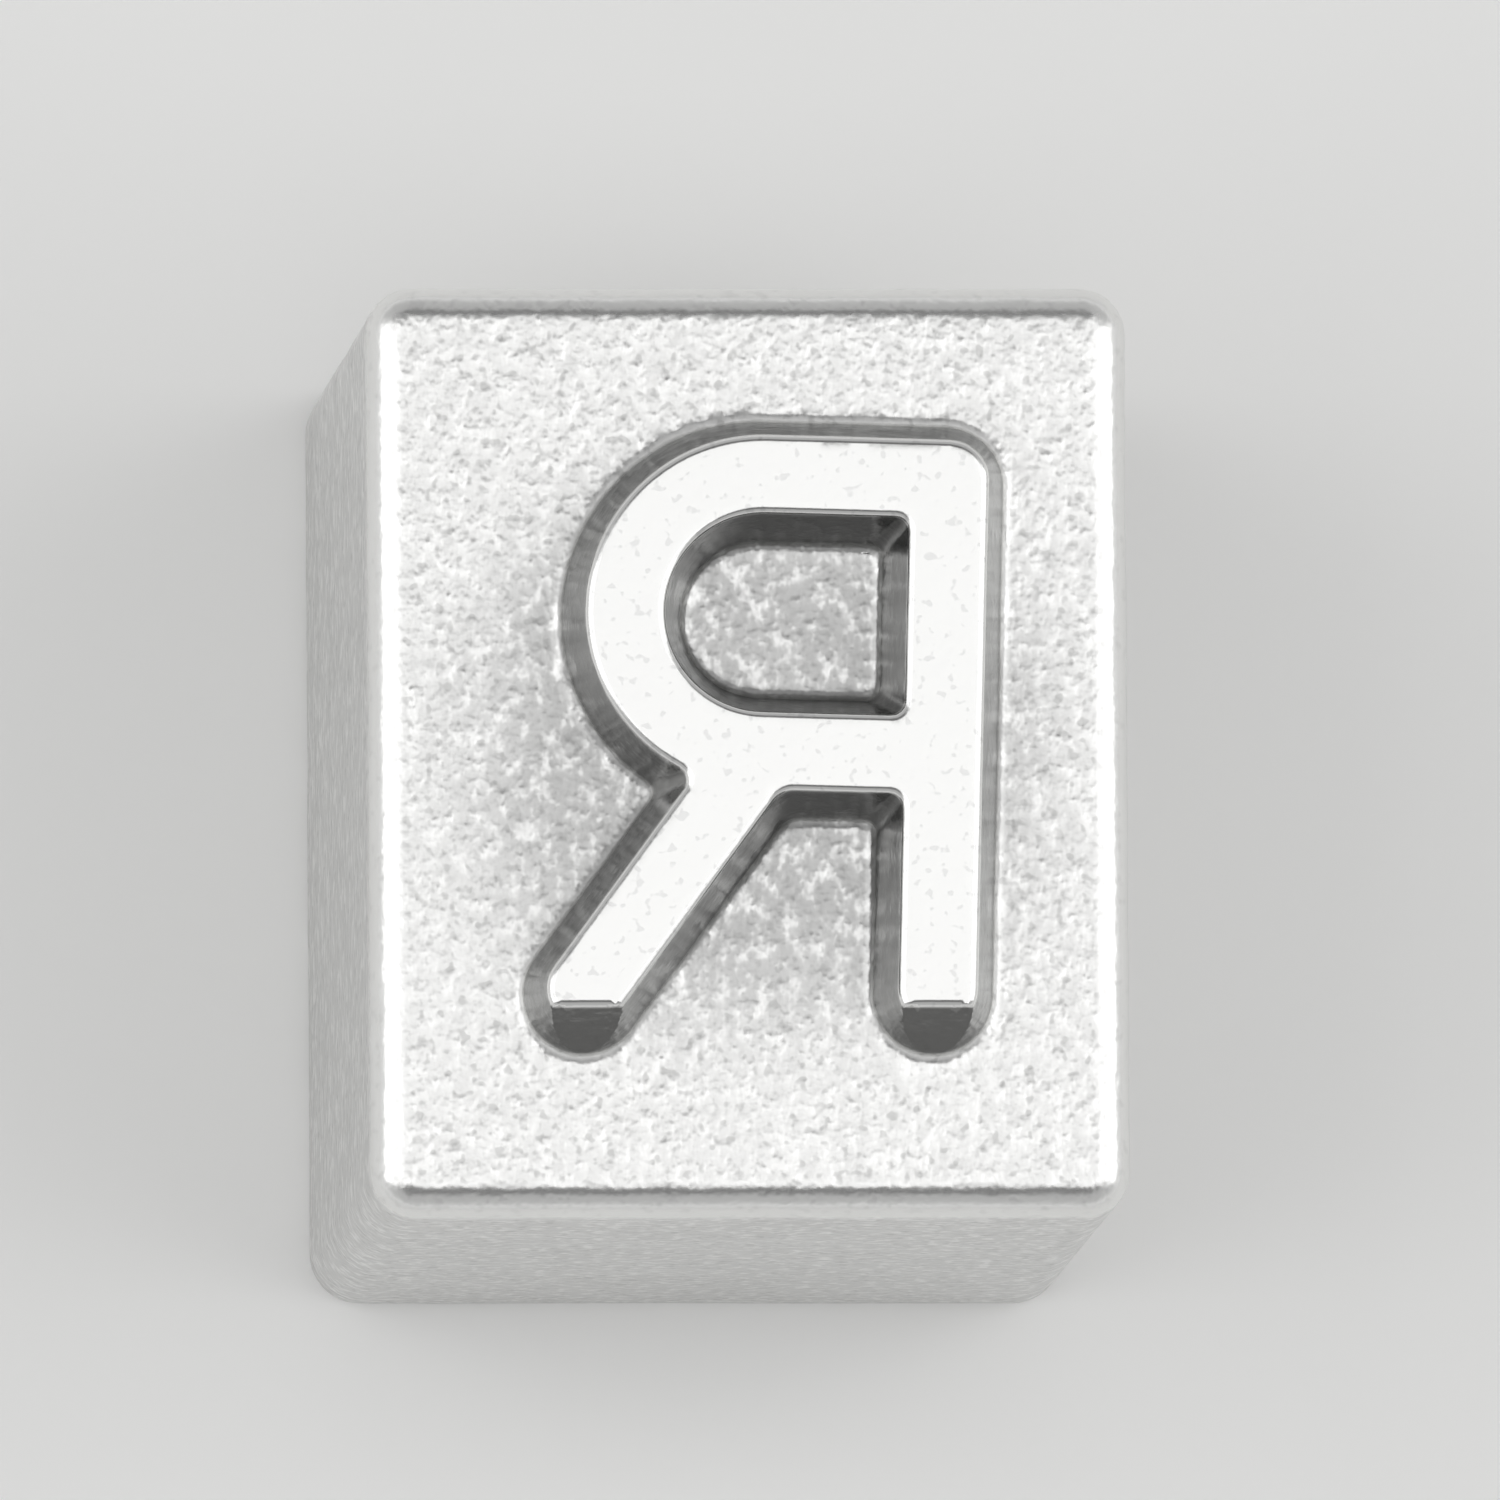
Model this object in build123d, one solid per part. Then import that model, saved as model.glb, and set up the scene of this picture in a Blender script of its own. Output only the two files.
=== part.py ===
from build123d import *
import math
import os

# A steel letter punch: one solid block with a raised, mirrored letter R on its printing face
# and a blind round socket in its back for the tip of a shared striking handle.
# Millimetres. +Z points out of the printing face and +Y towards the letter's top.
# The origin is the middle of the back face, on the socket's axis.

# The striking handle's tip that the socket takes
TIP_DIAMETER = 4.5
TIP_LENGTH = 9.7

# Socket in the back of the block
SOCKET_CLEARANCE = 0.05  # all round the tip
SOCKET_END_GAP = 0.3  # past the tip's end, so that the handle's shoulder seats first
SOCKET_MOUTH_CHAMFER = 0.3
SOCKET_FLOOR_RADIUS = 0.4

# Block
BLOCK_WIDTH = 8.5  # along X, halfway up
BLOCK_LENGTH = 10.4  # along Y, halfway up
FACE_WEB = 2.0  # metal between the socket's floor and the printing face
BLOCK_DRAFT = 0.3  # degrees, so that the cast block leaves its mould
BLOCK_CORNER_RADIUS = 0.55
FACE_EDGE_RADIUS = 0.4
BACK_EDGE_RADIUS = 0.25

# Letter: a stroke of one width with round ends
LETTER_HEIGHT = 6.5  # of the flat that prints
STROKE_WIDTH = 0.86  # of the flat that prints, before its edges are rounded
RELIEF = 1.0  # how far the letter stands above the printing face
STROKE_DRAFT = 15.0  # degrees from upright, on every side of the stroke
STROKE_EDGE_RADIUS = 0.1
STROKE_ROOT_RADIUS = 0.1
NOTCH_TO_ROOT = 1.5  # the radius where strokes meet, over the root radius that runs round it
LEG_NOTCH_RADIUS = 0.3  # between the leg and the bar above it
BOWL_RADIUS = 1.53  # of the bowl's centreline
BOWL_REACH = 3.54  # from the stem's centreline to the outermost of the bowl's
LEG_REACH = 3.87  # from the stem's centreline to the foot of the leg
LEG_DROP = 0.1  # of the leg's foot below the stem's
LETTER_SHIFT_X = 0.145  # of the letter's middle from the block's
LETTER_SHIFT_Y = 0.15
LETTER_TURN = -1.6  # degrees about Z: the letter is cast slightly askew on its block
STROKE_BITE = 0.5  # how far the strokes run down into the block
LENGTH_TOLERANCE = 0.001

# Worked out from the sizes above
socket_radius = TIP_DIAMETER / 2 + SOCKET_CLEARANCE
socket_depth = TIP_LENGTH + SOCKET_END_GAP
block_height = socket_depth + FACE_WEB
block_taper = block_height * math.tan(math.radians(BLOCK_DRAFT))
corner_radius = max(BLOCK_CORNER_RADIUS, FACE_EDGE_RADIUS + block_taper)

stroke_height = STROKE_BITE + RELIEF
top_half = STROKE_WIDTH / 2
base_half = top_half + stroke_height * math.tan(math.radians(STROKE_DRAFT))
seam_length = math.hypot(stroke_height, base_half - top_half)
notch_radius = NOTCH_TO_ROOT * STROKE_ROOT_RADIUS

# The letter's centreline, from the letter's own middle
top_y = (LETTER_HEIGHT - STROKE_WIDTH) / 2
foot_y = -top_y
waist_y = top_y - 2 * BOWL_RADIUS
stem_x = LEG_REACH / 2
leg_x = -stem_x
bowl_x = stem_x - BOWL_REACH + BOWL_RADIUS

STANDING = (Align.CENTER, Align.CENTER, Align.MIN)


def block():
    """The drafted block with rounded corners and edges, standing on its back face."""
    solid = extrude(RectangleRounded(BLOCK_WIDTH, BLOCK_LENGTH, corner_radius), block_height)
    sides = solid.faces().sort_by(Axis.Z)[1:-1]
    solid = draft(sides, Plane.XY.offset(block_height / 2), BLOCK_DRAFT)
    solid = fillet(solid.edges().group_by(Axis.Z)[-1], FACE_EDGE_RADIUS)
    return fillet(solid.edges().group_by(Axis.Z)[0], BACK_EDGE_RADIUS)


def socket():
    """The socket's space: a round blind hole with a chamfered mouth and a rounded floor."""
    hole = Cylinder(socket_radius, socket_depth, align=STANDING)
    hole = fillet(hole.edges().group_by(Axis.Z)[-1], SOCKET_FLOOR_RADIUS)
    mouth_radius = socket_radius + SOCKET_MOUTH_CHAMFER
    return hole + Cone(mouth_radius, socket_radius, SOCKET_MOUTH_CHAMFER, align=STANDING)


def stroke_section(point, bearing):
    """The drafted section of a stroke through a point, its width along a bearing from +X."""
    across = Vector(math.cos(math.radians(bearing)), math.sin(math.radians(bearing)), 0)
    plane = Plane(origin=(*point, 0), x_dir=across, z_dir=across.cross(Vector(0, 0, 1)))
    base_align = (Align.CENTER, Align.MIN)
    return plane * Trapezoid(2 * base_half, stroke_height, 90 - STROKE_DRAFT, align=base_align)


def straight(start, end):
    """A straight stroke between two points of the centreline."""
    run = Vector(*end) - Vector(*start)
    bearing = math.degrees(math.atan2(run.Y, run.X)) + 90
    return extrude(stroke_section(start, bearing), run.length)


def half_turn(start, centre):
    """A half turn of the stroke, from a point straight above the turn's centre."""
    return revolve(stroke_section(start, 90), Axis((*centre, 0), (0, 0, 1)), 180)


def round_end(point):
    """The drafted round that ends a stroke, or joins two strokes at a corner."""
    return Pos(*point) * Cone(base_half, top_half, stroke_height, align=STANDING)


def notches(shape):
    """The edges where two strokes meet at an angle. They are longer than the smooth seams."""
    inner = ShapeList(edge for edge in shape.edges() if edge.is_interior)
    return inner.filter_by(lambda edge: edge.length > seam_length + LENGTH_TOLERANCE)


def letter():
    """The mirrored R about its own middle, joined from its strokes, with rounded notches."""
    corner = (stem_x, top_y)
    stem_foot = (stem_x, foot_y)
    waist = (stem_x, waist_y)
    bowl_top = (bowl_x, top_y)
    bowl_foot = (bowl_x, waist_y)
    leg_foot = (leg_x, foot_y - LEG_DROP)
    strokes = [
        straight(corner, stem_foot),
        straight(corner, bowl_top),
        half_turn(bowl_top, (bowl_x, top_y - BOWL_RADIUS)),
        straight(bowl_foot, waist),
        straight(bowl_foot, leg_foot),
        round_end(corner),
        round_end(stem_foot),
        round_end(leg_foot),
    ]
    joined = Part() + strokes
    leg_notch = notches(joined).sort_by_distance((*bowl_foot, stroke_height))[0]
    joined = fillet(leg_notch, LEG_NOTCH_RADIUS)
    return fillet(notches(joined), notch_radius)


def letter_punch():
    """The whole punch in one piece."""
    plain_block = block()
    place = Pos(LETTER_SHIFT_X, LETTER_SHIFT_Y, block_height - STROKE_BITE) * Rot(0, 0, LETTER_TURN)
    placed_letter = place * letter()
    punch = plain_block + placed_letter
    roots = new_edges(plain_block, placed_letter, combined=punch)
    punch = fillet(roots, STROKE_ROOT_RADIUS)
    printing_flat = punch.faces().sort_by(Axis.Z)[-1]
    punch = fillet(printing_flat.edges(), STROKE_EDGE_RADIUS)
    return punch - socket()


if __name__ == "__main__":
    os.makedirs("parts", exist_ok=True)
    export_step(letter_punch(), "parts/letter_punch.step")
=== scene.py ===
import math

import bmesh
import bpy
import numpy as np
from mathutils import Matrix, Vector
from mathutils.bvhtree import BVHTree
from mathutils.geometry import delaunay_2d_cdt
from mathutils.kdtree import KDTree


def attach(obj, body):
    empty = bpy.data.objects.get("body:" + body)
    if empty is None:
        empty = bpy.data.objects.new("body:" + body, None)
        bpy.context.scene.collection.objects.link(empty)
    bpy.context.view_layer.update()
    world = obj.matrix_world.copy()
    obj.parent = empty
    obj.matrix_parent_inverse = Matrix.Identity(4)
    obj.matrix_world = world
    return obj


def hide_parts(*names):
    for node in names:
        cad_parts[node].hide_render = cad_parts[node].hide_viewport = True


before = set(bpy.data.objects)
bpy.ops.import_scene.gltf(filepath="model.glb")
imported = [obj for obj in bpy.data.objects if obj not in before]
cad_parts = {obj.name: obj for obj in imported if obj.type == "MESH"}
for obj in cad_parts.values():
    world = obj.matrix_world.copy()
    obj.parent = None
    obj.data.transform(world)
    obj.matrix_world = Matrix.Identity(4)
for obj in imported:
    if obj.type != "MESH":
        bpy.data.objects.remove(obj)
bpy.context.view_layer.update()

# A steel letter punch in metres: a small cast block with a raised, mirrored R on its top.
MM = 0.001

# Levels and sizes of the solid, from its back face up
PRINTING_FACE = 12.0 * MM
LETTER_TOP = 13.0 * MM
SOCKET_RADIUS = 2.3 * MM
SOCKET_DEPTH = 10.0 * MM
SOCKET_MOUTH_CHAMFER = 0.3 * MM
FACE_EDGE_RADIUS = 0.4 * MM

# Fine mesh of the punch
MERGE_DISTANCE = 0.0001 * MM
SHARP_ANGLE = math.radians(35)
COPLANAR = math.radians(0.05)
FACE_FACET = 0.085 * MM
SIDE_FACET = 0.19 * MM
SOCKET_FACET = 0.35 * MM
HALVINGS = 12
QUAD_FLATNESS = math.radians(1)
SIDE_FOOT = 0.3 * MM
SIDE_HEAD = 11.55 * MM
ROUNDING = 0.5  # a rounded surface runs halfway between its facets and the planes that touch it

# Even triangles of the flats: the spacing of their points at each level, and how they are joined
FLAT_LEVELS = {0.0: 0.15 * MM, PRINTING_FACE: 0.075 * MM, LETTER_TOP: 0.075 * MM}
ROW_STEP = math.sqrt(0.75)
CLEAR_OF_OUTLINE = 0.6
WHOLE_HULL = 0
NEARNESS = 0.00001

# Feet of the letter, whose round ends are cut to one slope with straight upper edges
FOOT_CUT = -2.9 * MM
FOOT_SLOPE = math.radians(61.1)
FOOT_FLOOR = PRINTING_FACE + 0.12 * MM
FOOT_SNAP = 0.004 * MM

# Evening out of the small rounding where the letter rises from the face
SLIVER = 0.006 * MM
ROOT_FOOT = PRINTING_FACE + 0.0005 * MM
ROOT_HEAD = PRINTING_FACE + 0.11 * MM
ROOT_SMOOTHINGS = 4
ROOT_SMOOTHING_SHARE = 0.5

# Cast skin
GRAIN_SIZE = 0.26 * MM
GRAIN_DEPTH = 0.014 * MM
GRAIN_DETAIL = (2.0, 0.55)
RIPPLE_SIZE = 1.6 * MM
RIPPLE_DEPTH = 0.02 * MM
RIPPLE_DETAIL = (1.0, 0.4)
PIT_SPACING = 1.3 * MM
PIT_RADIUS = 0.11 * MM
PIT_DEPTH = 0.035 * MM
LETTER_SKIN = 0.3
SKIN_SEED = 4.0
LETTER_SKIN_START = LETTER_TOP - 0.12 * MM
LETTER_SKIN_FADE = 0.1 * MM
MOUTH_FADE = 0.1 * MM
SOCKET_FLOOR_FADE = 0.5 * MM

# Where each finish of the metal lies, in millimetres
FLAT_HEIGHTS = (12.90, 12.96)
SLOPE_HEIGHTS = (12.03, 12.14)
BORE_RADII = (2.63, 2.60)
BORE_HEIGHTS = (10.1, 10.0)
RIM_PAST_X = 4.19
RIM_PAST_Y = 5.14
RIM_BAND = (-0.42, -0.26)
RIM_HEIGHTS = (11.55, 11.7)

# Wear round the face: an oval and a height in millimetres, and how strong the wear is
HANDLED_OVAL = (4.8, 4.6)
HANDLED_REACH = (0.40, 0.88)
HANDLED_HEIGHTS = (11.2, 11.9)
SIDE_WEAR = 0.35
FULL_WEAR = 0.85
CLOUD_WEAR = 0.3

# Grain, fine pepper and slow cloud of the metal: scale for each millimetre, detail and roughness
METAL_GRAIN = (5.5, 2.0, 0.65)
METAL_GRAIN_STRETCH = (1.0, 0.7, 1.0)
METAL_PEPPER = (8.0, 1.0, 0.5)
METAL_CLOUD = (0.8, 2.0, 0.5)
BRIGHT_GRAIN = (0.48, 0.68)
DARK_PEPPER = (0.44, 0.28)
DOT_PEPPER = (0.40, 0.30)

# Colours of the metal, and how much of each shows
FRESH_GREY = (0.46, 0.46, 0.455, 1.0)
WORN_GREY = (0.82, 0.82, 0.81, 1.0)
BRIGHT_SPECK = (0.88, 0.88, 0.87, 1.0)
BRIGHT_SHARE = 0.7
DARK_SPECK = (0.36, 0.36, 0.355, 1.0)
DARK_SHARE = 0.45
# Rims: brighter for polish from wear, and partly a painted highlight along the edges
RIM_WEAR_AND_HIGHLIGHT_GREY = (0.84, 0.84, 0.83, 1.0)
RIM_WEAR_AND_HIGHLIGHT_SHARE = 0.7
# Painted shade: the letter's slopes are coloured dark grey, darker than the metal is
SLOPE_SHADE_GREY = (0.22, 0.22, 0.216, 1.0)
# Printing flat: brighter for its polish, and partly a painted highlight
FLAT_POLISH_AND_HIGHLIGHT_GREY = (0.79, 0.79, 0.78, 1.0)
FLAT_DOT = (0.66, 0.66, 0.655, 1.0)
DOT_SHARE = 0.8

# Gloss and bump of the metal
SKIN_ROUGHNESS = (0.40, 0.30)
ROUGHNESS_GRAIN = (0.3, 0.7)
SLOPE_ROUGHNESS = 0.2
RIM_ROUGHNESS = 0.26
SMOOTH_ROUGHNESS = 0.20
BUMP_DEPTH = 0.03 * MM
BUMP_GRAIN_SHARE = 0.7
BUMP_PEPPER_SHARE = 0.3
SMOOTH_CALM = 0.9
WORN_CALM = 0.6

# Input and output places of a colour Mix node
MIX_SHARE, MIX_BELOW, MIX_ABOVE, MIX_COLOUR = 0, 6, 7, 2

# Camera
CAMERA_TILT_X = math.radians(3.7)
CAMERA_TILT_Y = math.radians(5.2)
CAMERA_DISTANCE = 0.46
CAMERA_LENS = 1000.0
CAMERA_CLIP_END = 4.0
CAMERA_AIM = Vector((0.0, 0.0, PRINTING_FACE))

# Studio
FLOOR_HALF_WIDTH = 0.6
FLOOR_COLOUR = (0.92, 0.92, 0.91, 1.0)
FLOOR_ROUGHNESS = 0.9
FLOOR_SPECULAR = 0.2
TOP_BOX_DISTANCE = 0.30
TOP_BOX_SIZE = (0.2, 0.16)
TOP_BOX_RADIANCE = 1.1
SIDE_BOX_DISTANCE = 0.30
SIDE_BOX_TILT = math.radians(43)
SIDE_BOX_SIZE = (0.22, 0.32)
SIDE_BOX_RADIANCE = 1.15

# Room round the punch: its light near the horizon, on its walls and overhead, and the change
# from each to the next, by how steeply one looks up
HORIZON_LIGHT = 0.8
WALL_LIGHT = 0.5
CEILING_LIGHT = 0.14
HORIZON_TO_WALL = (0.1, 0.35)
WALL_TO_CEILING = (0.68, 0.84)


def merged_copy(mesh):
    """The solid's loose triangles as one closed skin."""
    skin = bmesh.new()
    skin.from_mesh(mesh)
    bmesh.ops.remove_doubles(skin, verts=skin.verts, dist=MERGE_DISTANCE)
    return skin


def in_socket(point):
    """Whether a point lies on the socket's wall, floor or mouth."""
    reach = math.hypot(point.x, point.y)
    return reach < SOCKET_RADIUS + SOCKET_MOUTH_CHAMFER and point.z < SOCKET_DEPTH + MERGE_DISTANCE


def facet_length(point):
    """The longest edge that is wanted at a point of the punch."""
    if point.z > PRINTING_FACE - FACE_EDGE_RADIUS:
        return FACE_FACET
    return SOCKET_FACET if in_socket(point) else SIDE_FACET


def too_long(edge):
    """Whether an edge still has to be halved."""
    length = edge.calc_length()
    return length > FACE_FACET and length > facet_length((edge.verts[0].co + edge.verts[1].co) / 2)


def cut_sides(skin):
    """Cuts the tall facets of the sides and of the socket into level rows."""
    for level in np.arange(SIDE_FOOT, SIDE_HEAD, SIDE_FACET):
        geometry = skin.verts[:] + skin.edges[:] + skin.faces[:]
        bmesh.ops.bisect_plane(skin, geom=geometry, plane_co=(0, 0, level), plane_no=(0, 0, 1))


def cut_to_triangles(skin, corners):
    """Cuts the faces with more than so many corners into triangles."""
    bmesh.ops.triangulate(skin, faces=[face for face in skin.faces if len(face.verts) > corners])


def halve_long_edges(skin):
    """Cuts the skin into small facets of three or four corners, and then into triangles."""
    for _ in range(HALVINGS):
        long_edges = [edge for edge in skin.edges if too_long(edge)]
        if not long_edges:
            break
        bmesh.ops.subdivide_edges(
            skin, edges=long_edges, cuts=1, use_single_edge=True, use_grid_fill=True
        )
        cut_to_triangles(skin, 4)
    bmesh.ops.triangulate(skin, faces=skin.faces, quad_method="SHORT_EDGE")


def lies_at(item, level):
    """Whether all of an edge or a face lies at a level."""
    return all(abs(vert.co.z - level) < MERGE_DISTANCE for vert in item.verts)


def open_flat(skin, level):
    """Takes out the triangles of the flats at a level."""
    flat = [face for face in skin.faces if lies_at(face, level)]
    bmesh.ops.delete(skin, geom=flat, context="FACES")


def inside(points, starts, ends):
    """Which of the points lie inside a set of outlines, with holes counted as outside."""
    crossings = np.zeros(len(points), int)
    for (x0, y0), (x1, y1) in zip(starts, ends):
        spans = (y0 > points[:, 1]) != (y1 > points[:, 1])
        at_x = x0 + (points[spans, 1] - y0) * (x1 - x0) / (y1 - y0)
        crossings[np.flatnonzero(spans)[at_x > points[spans, 0]]] += 1
    return crossings % 2 == 1


def staggered_points(outline, spacing):
    """Evenly staggered points all over the outlines and round them, but not close to their own."""
    low = outline.min(axis=0) - 2 * spacing
    high = outline.max(axis=0) + 2 * spacing
    rows = np.arange(low[1], high[1], spacing * ROW_STEP)
    columns = np.arange(low[0], high[0], spacing)
    near = KDTree(len(outline))
    for index, (x, y) in enumerate(outline):
        near.insert((x, y, 0), index)
    near.balance()
    points = [(x + spacing / 2 * (row % 2), y) for row, y in enumerate(rows) for x in columns]
    clearance = CLEAR_OF_OUTLINE * spacing
    return np.array([point for point in points if near.find((*point, 0))[2] > clearance])


def close_flat(skin, level, spacing):
    """Fills the flats at a level again, with small and even triangles."""
    rim = [edge for edge in skin.edges if edge.is_boundary and lies_at(edge, level)]
    rim_verts = list({vert for edge in rim for vert in edge.verts})
    number = {vert: index for index, vert in enumerate(rim_verts)}
    outline = np.array([vert.co.xy for vert in rim_verts])
    pairs = [(number[edge.verts[0]], number[edge.verts[1]]) for edge in rim]
    starts = outline[[pair[0] for pair in pairs]]
    ends = outline[[pair[1] for pair in pairs]]
    points = np.vstack([outline, staggered_points(outline, spacing)])
    in_mm = [Vector(point) for point in points / MM]
    _, _, triangles, origins, _, _ = delaunay_2d_cdt(in_mm, pairs, [], WHOLE_HULL, NEARNESS)
    corners = np.array([[origins[index][0] for index in triangle] for triangle in triangles])
    kept = corners[inside(points[corners].mean(axis=1), starts, ends)]
    verts = dict(enumerate(rim_verts))
    for index in np.unique(kept):
        if index not in verts:
            verts[index] = skin.verts.new((*points[index], level))
    for triangle in kept if level > 0 else kept[:, ::-1]:
        skin.faces.new([verts[index] for index in triangle])


def facets(coarse):
    """Each coarse face's own flat facet, as its direction and its area."""
    found = {}
    for start in coarse.faces:
        if start in found:
            continue
        facet, front = {start}, [start]
        while front:
            for edge in front.pop().edges:
                for face in edge.link_faces:
                    if face not in facet and face.normal.angle(start.normal) < COPLANAR:
                        facet.add(face)
                        front.append(face)
        whole = (start.normal.copy().freeze(), sum(face.calc_area() for face in facet))
        found.update((face, whole) for face in facet)
    return found


def corner_normals(coarse):
    """The true surface direction at each corner of each coarse triangle.

    The facets round a corner count by their area squared, so that a flat keeps its own direction,
    and not across a sharp edge.
    """
    facet_of = facets(coarse)
    table = []
    for face in coarse.faces:
        row = []
        for vert in face.verts:
            around = {facet_of[other] for other in vert.link_faces}
            smooth = [(way, area) for way, area in around if way.angle(face.normal) < SHARP_ANGLE]
            row.append(sum((way * area ** 2 for way, area in smooth), Vector()).normalized())
        table.append(row)
    return table


def corner_shares(point, corners):
    """How near a point of a triangle lies to each of its corners, adding up to 1."""
    a, b, c = corners
    whole = (b - a).cross(c - a)
    share_b = (point - a).cross(c - a).dot(whole) / whole.length_squared
    share_c = (b - a).cross(point - a).dot(whole) / whole.length_squared
    return 1 - share_b - share_c, share_b, share_c


def round_out(skin, coarse):
    """Lifts the new points from the coarse facets onto the rounded surface that they stand for."""
    coarse.faces.ensure_lookup_table()
    normals = corner_normals(coarse)
    tree = BVHTree.FromBMesh(coarse)
    for vert in skin.verts:
        _, _, index, _ = tree.find_nearest(vert.co)
        corners = [corner.co for corner in coarse.faces[index].verts]
        shares = corner_shares(vert.co, corners)
        lift = Vector()
        for share, corner, normal in zip(shares, corners, normals[index]):
            lift -= normal * (share * (vert.co - corner).dot(normal))
        vert.co += lift * ROUNDING


def on_foot(face):
    """Whether a face lies on the end of one of the letter's feet."""
    return all(vert.co.z > FOOT_FLOOR and vert.co.y < FOOT_CUT + FACE_FACET for vert in face.verts)


def slope_feet(skin):
    """Cuts the round ends of the letter's feet down to a slope."""
    upper_edge = Vector((0, FOOT_CUT, LETTER_TOP))
    facing = Vector((0, -math.sin(FOOT_SLOPE), math.cos(FOOT_SLOPE)))
    ends = [face for face in skin.faces if on_foot(face)]
    edges = list({edge for face in ends for edge in face.edges})
    verts = list({vert for face in ends for vert in face.verts})
    bmesh.ops.bisect_plane(
        skin, geom=verts + edges + ends, plane_co=upper_edge, plane_no=facing, dist=FOOT_SNAP
    )
    for vert in skin.verts:
        above = facing.dot(vert.co - upper_edge)
        if vert.co.z > FOOT_FLOOR and above > 0:
            vert.co.z -= above / facing.z
    cut_to_triangles(skin, 3)


def even_root(skin):
    """Takes out slivers, and evens the fine facets along the letter's root."""
    bmesh.ops.dissolve_degenerate(skin, edges=skin.edges, dist=SLIVER)
    cut_to_triangles(skin, 3)
    for _ in range(ROOT_SMOOTHINGS):
        root = [vert for vert in skin.verts if ROOT_FOOT < vert.co.z < ROOT_HEAD]
        bmesh.ops.smooth_vert(
            skin,
            verts=root,
            factor=ROOT_SMOOTHING_SHARE,
            use_axis_x=True,
            use_axis_y=True,
            use_axis_z=True,
        )


def fine_punch(mesh):
    """A finely meshed copy of the solid."""
    coarse = merged_copy(mesh)
    skin = coarse.copy()
    for level in FLAT_LEVELS:
        open_flat(skin, level)
    bmesh.ops.join_triangles(
        skin, faces=skin.faces, angle_face_threshold=QUAD_FLATNESS, angle_shape_threshold=math.pi
    )
    cut_sides(skin)
    halve_long_edges(skin)
    for level, spacing in FLAT_LEVELS.items():
        close_flat(skin, level, spacing)
    round_out(skin, coarse)
    slope_feet(skin)
    even_root(skin)
    skin.normal_update()
    fine = bpy.data.meshes.new("letter_punch_skin")
    skin.to_mesh(fine)
    skin.free()
    coarse.free()
    return fine


class NodeBench:
    """Adds nodes to a tree and joins them, with plain numbers for what isn't joined."""

    def __init__(self, tree):
        self.tree = tree

    def add(self, kind, *inputs, **settings):
        """A node with its settings; an input is a socket, a value, or None to leave it alone."""
        node = self.tree.nodes.new(kind)
        for name, value in settings.items():
            setattr(node, name, value)
        open_sockets = [socket for socket in node.inputs if socket.enabled]
        for socket, value in zip(open_sockets, inputs):
            self.feed(socket, value)
        return node

    def feed(self, socket, value):
        """Joins or sets one input."""
        if isinstance(value, bpy.types.NodeSocket):
            self.tree.links.new(value, socket)
        elif value is not None:
            socket.default_value = value

    def maths(self, operation, *values, clamp=False):
        """A Math node's result."""
        return self.add("ShaderNodeMath", *values, operation=operation, use_clamp=clamp).outputs[0]

    def between(self, value, low, high, start=0.0, end=1.0):
        """A smooth step of a value from low to high."""
        step = self.add(
            "ShaderNodeMapRange", value, low, high, start, end, interpolation_type="SMOOTHSTEP"
        )
        return step.outputs[0]

    def scaled(self, vector, factor):
        """A vector times a number."""
        node = self.add("ShaderNodeVectorMath", operation="SCALE")
        self.feed(node.inputs[0], vector)
        self.feed(node.inputs["Scale"], factor)
        return node.outputs[0]

    def noise(self, place, scale, detail, roughness, seed=None):
        """A noise's height at a place, where a seed is its fourth coordinate."""
        seeded = seed is not None
        node = self.add("ShaderNodeTexNoise", noise_dimensions="4D" if seeded else "3D")
        self.feed(node.inputs["Vector"], place)
        if seeded:
            self.feed(node.inputs["W"], seed)
        self.feed(node.inputs["Scale"], scale)
        self.feed(node.inputs["Detail"], detail)
        self.feed(node.inputs["Roughness"], roughness)
        return node.outputs[0]

    def oval_reach(self, x, y, half_x=1.0, half_y=1.0):
        """How far a place lies from the middle, where 1 is on an oval."""
        square_x = self.maths("POWER", self.maths("DIVIDE", x, half_x), 2.0)
        square_y = self.maths("POWER", self.maths("DIVIDE", y, half_y), 2.0)
        return self.maths("SQRT", self.maths("ADD", square_x, square_y))

    def fade(self, share, below, above):
        """A number between two, by a share."""
        return self.add("ShaderNodeMix", share, below, above, data_type="FLOAT").outputs[0]

    def blend(self, share, below, above):
        """A colour between two, by a share."""
        node = self.add("ShaderNodeMix", data_type="RGBA")
        self.feed(node.inputs[MIX_SHARE], share)
        self.feed(node.inputs[MIX_BELOW], below)
        self.feed(node.inputs[MIX_ABOVE], above)
        return node.outputs[MIX_COLOUR]


def named_inputs(tree):
    """The sizes and the seed of the cast skin, as the tree's named inputs."""
    tree.interface.new_socket("Geometry", in_out="INPUT", socket_type="NodeSocketGeometry")
    sizes = {
        "Grain Size": GRAIN_SIZE,
        "Grain Depth": GRAIN_DEPTH,
        "Ripple Size": RIPPLE_SIZE,
        "Ripple Depth": RIPPLE_DEPTH,
        "Pit Spacing": PIT_SPACING,
        "Pit Radius": PIT_RADIUS,
        "Pit Depth": PIT_DEPTH,
        "Letter Share": LETTER_SKIN,
        "Seed": SKIN_SEED,
    }
    for name, size in sizes.items():
        socket = tree.interface.new_socket(name, in_out="INPUT", socket_type="NodeSocketFloat")
        socket.default_value = size


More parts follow.
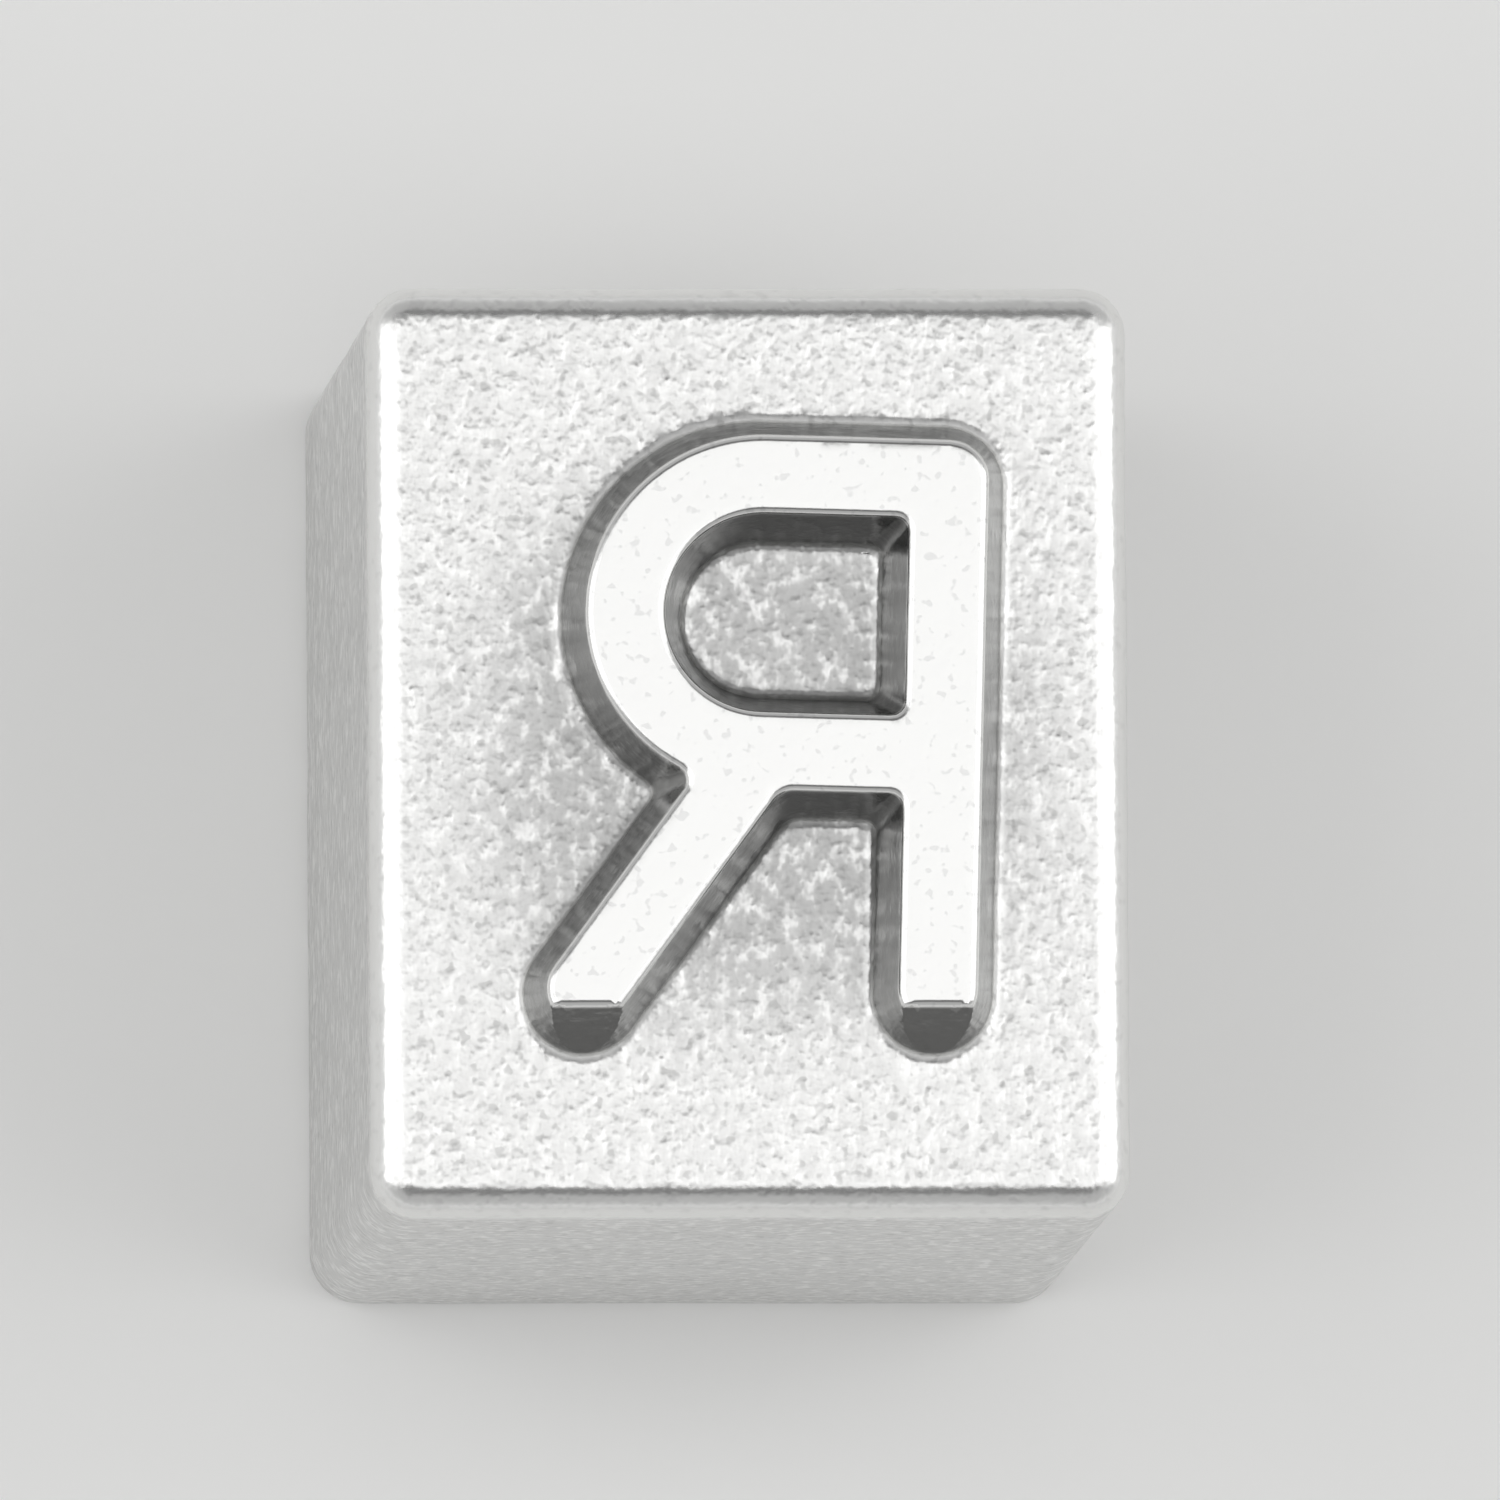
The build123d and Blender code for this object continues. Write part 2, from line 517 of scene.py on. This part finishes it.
def pressed_depth(bench, given, place):
    """How deep the grain, the ripples and the pits together go at a place."""
    grain_scale = bench.maths("DIVIDE", 1.0, given["Grain Size"])
    grain = bench.noise(place, grain_scale, *GRAIN_DETAIL, seed=given["Seed"])
    ripple_scale = bench.maths("DIVIDE", 1.0, given["Ripple Size"])
    ripple = bench.noise(place, ripple_scale, *RIPPLE_DETAIL, seed=given["Seed"])

    cells = bench.add("ShaderNodeTexVoronoi", voronoi_dimensions="4D")
    bench.feed(cells.inputs["Vector"], place)
    bench.feed(cells.inputs["W"], given["Seed"])
    bench.feed(cells.inputs["Scale"], bench.maths("DIVIDE", 1.0, given["Pit Spacing"]))
    reach = bench.maths("MULTIPLY", cells.outputs["Distance"], given["Pit Spacing"])
    pit = bench.between(reach, given["Pit Radius"], 0.0)

    grain_depth = bench.maths("MULTIPLY", grain, given["Grain Depth"])
    ripple_depth = bench.maths("MULTIPLY", ripple, given["Ripple Depth"])
    pit_depth = bench.maths("MULTIPLY", pit, given["Pit Depth"])
    return bench.maths("ADD", bench.maths("ADD", grain_depth, ripple_depth), pit_depth)


def cast_share(bench, given, place):
    """How much of the cast skin shows: little on the printing flat, and none in the socket."""
    height = bench.add("ShaderNodeSeparateXYZ", place).outputs["Z"]
    fade_end = LETTER_SKIN_START + LETTER_SKIN_FADE
    below_flat = bench.between(height, LETTER_SKIN_START, fade_end, 1.0, 0.0)
    share = bench.maths("MAXIMUM", below_flat, given["Letter Share"])
    across = bench.add("ShaderNodeVectorMath", place, (1.0, 1.0, 0.0), operation="MULTIPLY")
    length = bench.add("ShaderNodeVectorMath", across.outputs[0], operation="LENGTH")
    mouth = SOCKET_RADIUS + SOCKET_MOUTH_CHAMFER
    outside = bench.between(length.outputs["Value"], mouth, mouth + MOUTH_FADE)
    above = bench.between(height, SOCKET_DEPTH, SOCKET_DEPTH + SOCKET_FLOOR_FADE)
    return bench.maths("MULTIPLY", share, bench.maths("MAXIMUM", outside, above))


def cast_skin_tree(metal):
    """Geometry Nodes that press a cast grain, slow ripples and a few pits into the surface.

    Everything goes inwards, so the punch never grows past its solid.
    """
    tree = bpy.data.node_groups.new("cast_skin", "GeometryNodeTree")
    named_inputs(tree)
    tree.interface.new_socket("Geometry", in_out="OUTPUT", socket_type="NodeSocketGeometry")

    bench = NodeBench(tree)
    given = bench.add("NodeGroupInput").outputs
    place = bench.add("GeometryNodeInputPosition").outputs[0]
    normal = bench.add("GeometryNodeInputNormal").outputs[0]
    depth = pressed_depth(bench, given, place)
    cast = cast_share(bench, given, place)
    inward = bench.maths("MULTIPLY", bench.maths("MULTIPLY", depth, cast), -1.0)

    pressed = bench.add("GeometryNodeSetPosition")
    bench.feed(pressed.inputs["Geometry"], given["Geometry"])
    bench.feed(pressed.inputs["Offset"], bench.scaled(normal, inward))
    whole = bench.add("GeometryNodeRealizeInstances", pressed.outputs[0])
    painted = bench.add("GeometryNodeSetMaterial")
    bench.feed(painted.inputs["Geometry"], whole.outputs[0])
    painted.inputs["Material"].default_value = metal
    bench.add("NodeGroupOutput", painted.outputs[0])
    return tree


def punch_piece(metal):
    """The punch that is seen, with its cast skin, in place of the plain solid."""
    fine = fine_punch(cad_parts["letter_punch"].data)
    blank = bpy.data.objects.new("cast_blank", fine)
    bpy.context.scene.collection.objects.link(blank)
    skin = blank.modifiers.new("cast_skin", "NODES")
    skin.node_group = cast_skin_tree(metal)
    graph = bpy.context.evaluated_depsgraph_get()
    baked = bpy.data.meshes.new_from_object(blank.evaluated_get(graph))
    bpy.data.objects.remove(blank)
    baked.shade_smooth()
    baked.set_sharp_from_angle(angle=SHARP_ANGLE)
    piece = bpy.data.objects.new("letter_punch_metal", baked)
    bpy.context.scene.collection.objects.link(piece)
    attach(piece, "root")
    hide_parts("letter_punch")


def finish_places(bench, x, y, height):
    """Where the printing flat, the letter's slopes, the socket and the rims, worn and with a painted
    highlight, lie, from 0 to 1.
    """
    on_flat = bench.between(height, *FLAT_HEIGHTS)
    below_flat = bench.between(height, *FLAT_HEIGHTS[::-1])
    on_slope = bench.maths("MULTIPLY", bench.between(height, *SLOPE_HEIGHTS), below_flat)
    in_radius = bench.between(bench.oval_reach(x, y), *BORE_RADII)
    in_bore = bench.maths("MULTIPLY", in_radius, bench.between(height, *BORE_HEIGHTS))
    past_x = bench.maths("SUBTRACT", bench.maths("ABSOLUTE", x), RIM_PAST_X)
    past_y = bench.maths("SUBTRACT", bench.maths("ABSOLUTE", y), RIM_PAST_Y)
    rim = bench.between(bench.maths("MAXIMUM", past_x, past_y), *RIM_BAND)
    on_rim = bench.maths("MULTIPLY", rim, bench.between(height, *RIM_HEIGHTS))
    return on_flat, on_slope, in_bore, on_rim


def handled_share(bench, x, y, height, cloud):
    """How bright hands have rubbed the metal: most round the face, and unevenly."""
    near_face = bench.between(height, *HANDLED_HEIGHTS, SIDE_WEAR, 1.0)
    outward = bench.between(bench.oval_reach(x, y, *HANDLED_OVAL), *HANDLED_REACH, 0.0, FULL_WEAR)
    rubbed = bench.maths("MULTIPLY", outward, near_face)
    return bench.maths("ADD", rubbed, bench.maths("MULTIPLY", cloud, CLOUD_WEAR), clamp=True)


def metal_colour(bench, places, handled, grain, pepper):
    """Grey metal with bright and dark specks, rims brighter for wear and a painted highlight, letter
    slopes in painted shade, and a dotted printing flat brighter for its polish and a painted
    highlight.
    """
    on_flat, on_slope, _, on_rim = places
    bright = bench.maths("MULTIPLY", bench.between(grain, *BRIGHT_GRAIN), BRIGHT_SHARE)
    dark = bench.maths("MULTIPLY", bench.between(pepper, *DARK_PEPPER), DARK_SHARE)
    dots = bench.between(pepper, *DOT_PEPPER, 0.0, DOT_SHARE)
    skin = bench.blend(handled, FRESH_GREY, WORN_GREY)
    skin = bench.blend(bright, skin, BRIGHT_SPECK)
    skin = bench.blend(dark, skin, DARK_SPECK)
    # Partly painted highlight: the rims are coloured brighter, for wear and for a bright line along
    # the edges
    skin = bench.blend(bench.maths("MULTIPLY", on_rim, RIM_WEAR_AND_HIGHLIGHT_SHARE), skin, RIM_WEAR_AND_HIGHLIGHT_GREY)
    # Painted shade: the letter's slopes are coloured dark grey
    skin = bench.blend(on_slope, skin, SLOPE_SHADE_GREY)
    # Partly painted highlight: the printing flat is coloured brighter, for its polish and for its
    # bright top
    return bench.blend(on_flat, skin, bench.blend(dots, FLAT_POLISH_AND_HIGHLIGHT_GREY, FLAT_DOT))


def metal_roughness(bench, places, grain):
    """Satin skin, glossier on the slopes, the rims, the printing flat and in the socket."""
    on_flat, on_slope, in_bore, on_rim = places
    skin = bench.between(grain, *ROUGHNESS_GRAIN, *SKIN_ROUGHNESS)
    skin = bench.fade(on_slope, skin, SLOPE_ROUGHNESS)
    skin = bench.fade(on_rim, skin, RIM_ROUGHNESS)
    return bench.fade(bench.maths("MAXIMUM", on_flat, in_bore), skin, SMOOTH_ROUGHNESS)


def metal_bump(bench, places, grain, pepper):
    """The finest grain, calmer where the metal is smooth or worn."""
    on_flat, on_slope, in_bore, on_rim = places
    coarse = bench.maths("MULTIPLY", grain, BUMP_GRAIN_SHARE)
    fine = bench.maths("MULTIPLY", pepper, BUMP_PEPPER_SHARE)
    smooth = bench.maths("MULTIPLY", bench.maths("MAXIMUM", on_flat, in_bore), SMOOTH_CALM)
    worn = bench.maths("MULTIPLY", bench.maths("MAXIMUM", on_rim, on_slope), WORN_CALM)
    calm = bench.maths("MAXIMUM", smooth, worn)
    bump = bench.add("ShaderNodeBump")
    bench.feed(bump.inputs["Height"], bench.maths("ADD", coarse, fine))
    bench.feed(bump.inputs["Strength"], bench.maths("SUBTRACT", 1.0, calm))
    bench.feed(bump.inputs["Distance"], BUMP_DEPTH)
    return bump.outputs[0]


def cast_metal():
    """Satin cast metal with a grainy skin, rims brighter for wear and a painted highlight, letter
    slopes in painted shade, and a smooth flat brighter for its polish and a painted highlight.
    """
    material = bpy.data.materials.new("cast_punch_metal")
    material.use_nodes = True
    bench = NodeBench(material.node_tree)
    shader = material.node_tree.nodes["Principled BSDF"]
    shader.inputs["Metallic"].default_value = 1.0

    place = bench.add("ShaderNodeTexCoord").outputs["Object"]
    spot = bench.scaled(place, 1 / MM)
    x, y, height = bench.add("ShaderNodeSeparateXYZ", spot).outputs
    stretched = bench.add(
        "ShaderNodeVectorMath", spot, METAL_GRAIN_STRETCH, operation="MULTIPLY"
    ).outputs[0]
    grain = bench.noise(stretched, *METAL_GRAIN)
    pepper = bench.noise(spot, *METAL_PEPPER)
    cloud = bench.noise(spot, *METAL_CLOUD)
    places = finish_places(bench, x, y, height)
    handled = handled_share(bench, x, y, height, cloud)
    colour = metal_colour(bench, places, handled, grain, pepper)
    bench.feed(shader.inputs["Base Color"], colour)
    bench.feed(shader.inputs["Roughness"], metal_roughness(bench, places, grain))
    bench.feed(shader.inputs["Normal"], metal_bump(bench, places, grain, pepper))
    return material


def pale_floor():
    """A plain pale floor under the punch."""
    material = bpy.data.materials.new("pale_floor")
    material.use_nodes = True
    shader = material.node_tree.nodes["Principled BSDF"]
    shader.inputs["Base Color"].default_value = FLOOR_COLOUR
    shader.inputs["Roughness"].default_value = FLOOR_ROUGHNESS
    shader.inputs["Specular IOR Level"].default_value = FLOOR_SPECULAR
    half = FLOOR_HALF_WIDTH
    corners = [(-half, -half, 0), (half, -half, 0), (half, half, 0), (-half, half, 0)]
    mesh = bpy.data.meshes.new("floor")
    mesh.from_pydata(corners, [], [(0, 1, 2, 3)])
    mesh.materials.append(material)
    floor = bpy.data.objects.new("floor", mesh)
    bpy.context.scene.collection.objects.link(floor)


def soft_box(name, toward, distance, size, radiance):
    """A soft rectangular lamp that faces the punch from a direction."""
    lamp = bpy.data.lights.new(name, "AREA")
    lamp.shape = "RECTANGLE"
    lamp.size, lamp.size_y = size
    lamp.energy = radiance * math.pi * size[0] * size[1]
    box = bpy.data.objects.new(name, lamp)
    box.location = toward.normalized() * distance
    box.rotation_mode = "QUATERNION"
    box.rotation_quaternion = toward.to_track_quat("Z", "Y")
    box.visible_camera = False
    bpy.context.scene.collection.objects.link(box)


def room():
    """A grey room that is pale near the horizon and darker overhead."""
    world = bpy.data.worlds.new("studio")
    bpy.context.scene.world = world
    world.use_nodes = True
    bench = NodeBench(world.node_tree)
    direction = bench.add("ShaderNodeTexCoord").outputs["Generated"]
    upward = bench.add("ShaderNodeSeparateXYZ", direction).outputs["Z"]
    walls = bench.between(upward, *HORIZON_TO_WALL, HORIZON_LIGHT, WALL_LIGHT)
    light = bench.between(upward, *WALL_TO_CEILING, walls, CEILING_LIGHT)
    bench.feed(world.node_tree.nodes["Background"].inputs["Color"], light)


def studio():
    """A soft box overhead and one on each side, in a grey room."""
    soft_box("top_box", Vector((0, 0, 1)), TOP_BOX_DISTANCE, TOP_BOX_SIZE, TOP_BOX_RADIANCE)
    for name, side in (("left_box", -1), ("right_box", 1)):
        toward = Vector((side * math.sin(SIDE_BOX_TILT), 0, math.cos(SIDE_BOX_TILT)))
        soft_box(name, toward, SIDE_BOX_DISTANCE, SIDE_BOX_SIZE, SIDE_BOX_RADIANCE)
    room()


def camera():
    """A long lens almost straight above the printing face, leaning towards its lower left."""
    back = Vector((-math.tan(CAMERA_TILT_X), -math.tan(CAMERA_TILT_Y), 1.0)).normalized()
    right = Vector((1.0, 0.0, 0.0))
    right = (right - back * right.dot(back)).normalized()
    up = back.cross(right)
    data = bpy.data.cameras.new("camera")
    data.lens = CAMERA_LENS
    data.clip_end = CAMERA_CLIP_END
    eye = bpy.data.objects.new("camera", data)
    turn = Matrix((right, up, back)).transposed().to_4x4()
    eye.matrix_world = Matrix.Translation(CAMERA_AIM + back * CAMERA_DISTANCE) @ turn
    bpy.context.scene.collection.objects.link(eye)
    bpy.context.scene.camera = eye


punch_piece(cast_metal())
pale_floor()
studio()
camera()
bpy.context.scene.view_settings.view_transform = "Standard"
